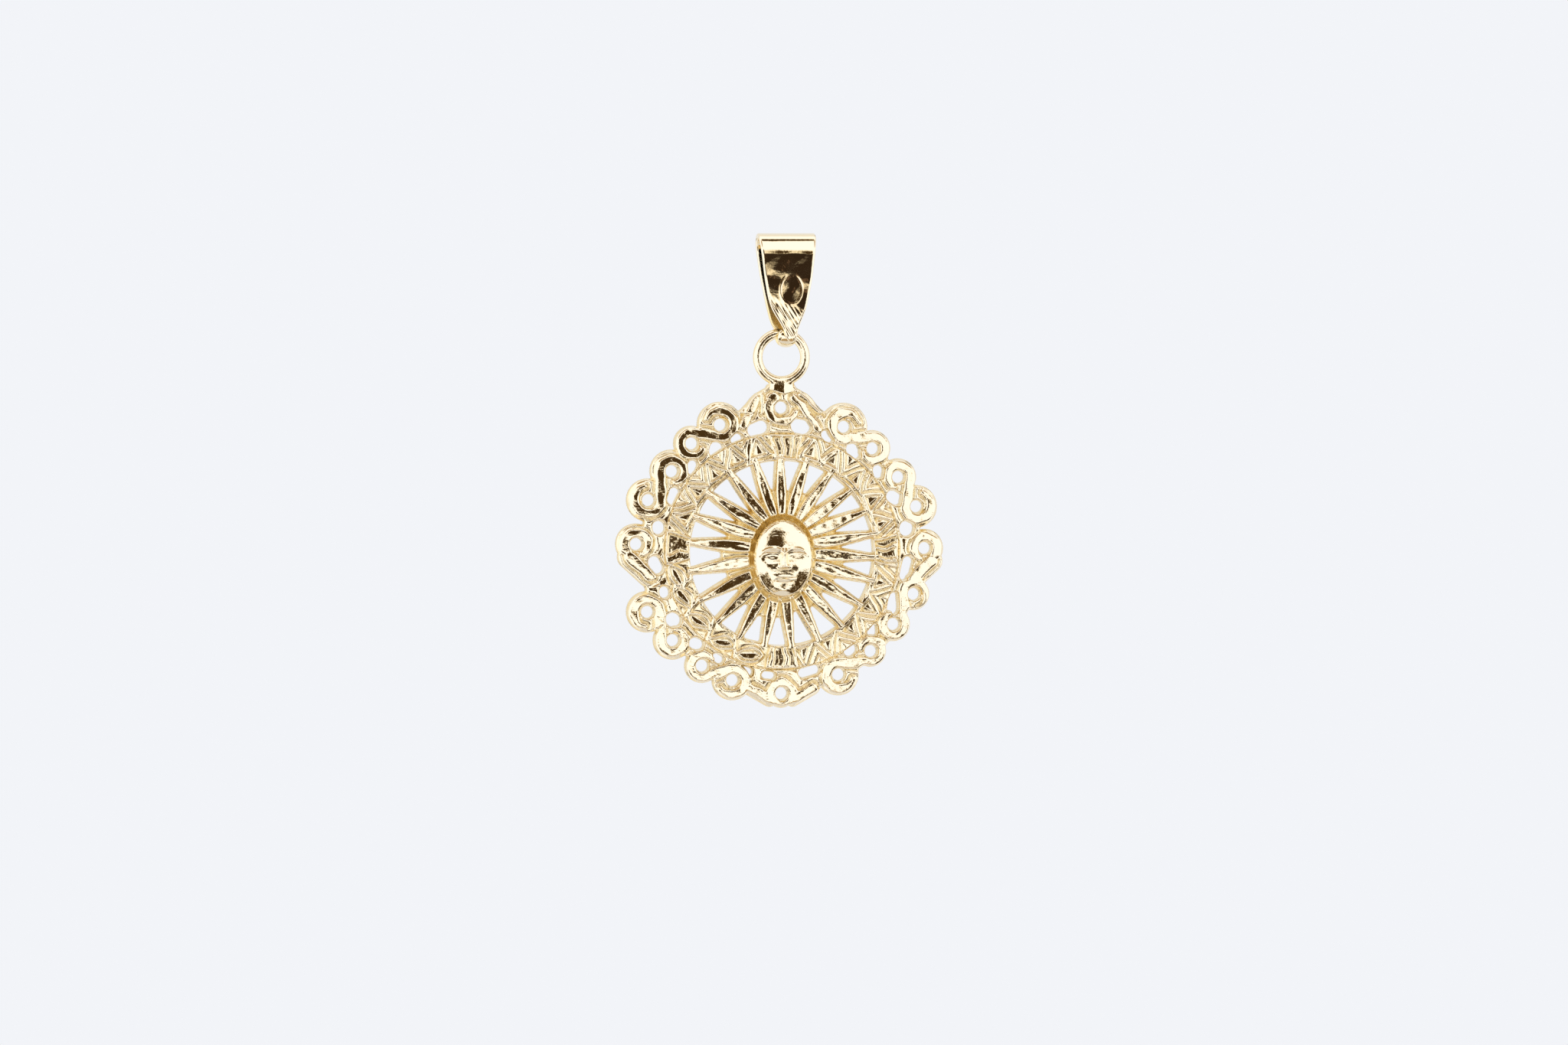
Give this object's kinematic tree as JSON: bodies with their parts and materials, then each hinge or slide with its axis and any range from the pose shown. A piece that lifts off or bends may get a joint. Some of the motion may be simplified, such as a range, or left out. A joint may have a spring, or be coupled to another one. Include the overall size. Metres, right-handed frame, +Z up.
{
  "type": "openwork sun pendant with strip bail",
  "caption": "Round openwork pendant with a raised sun face, rays and a scrolled border, hung by a ring on a folded tapered bail.",
  "frame": {"origin": "the chain's seat: the middle of the inside of the bail's top bend", "axes": "+Z up, front towards -Y, +X to the right as seen from the front"},
  "size_m": [0.0219, 0.0033, 0.0316],
  "materials": {
    "polished_gold": "mirror-polished yellow gold sheet",
    "cast_gold": "cast yellow gold, polished, with fine cast grain in the relief"
  },
  "bodies": {
    "bail": {"bail": "polished_gold"},
    "medallion": {"medallion": "cast_gold"}
  },
  "joints": [
    {"name": "medallion_swing", "type": "hinge", "parent": "bail", "child": "medallion", "pos_m": [0, 0, -0.00638], "axis": [1, 0, 0], "range_deg": [-85, 85]}
  ]
}
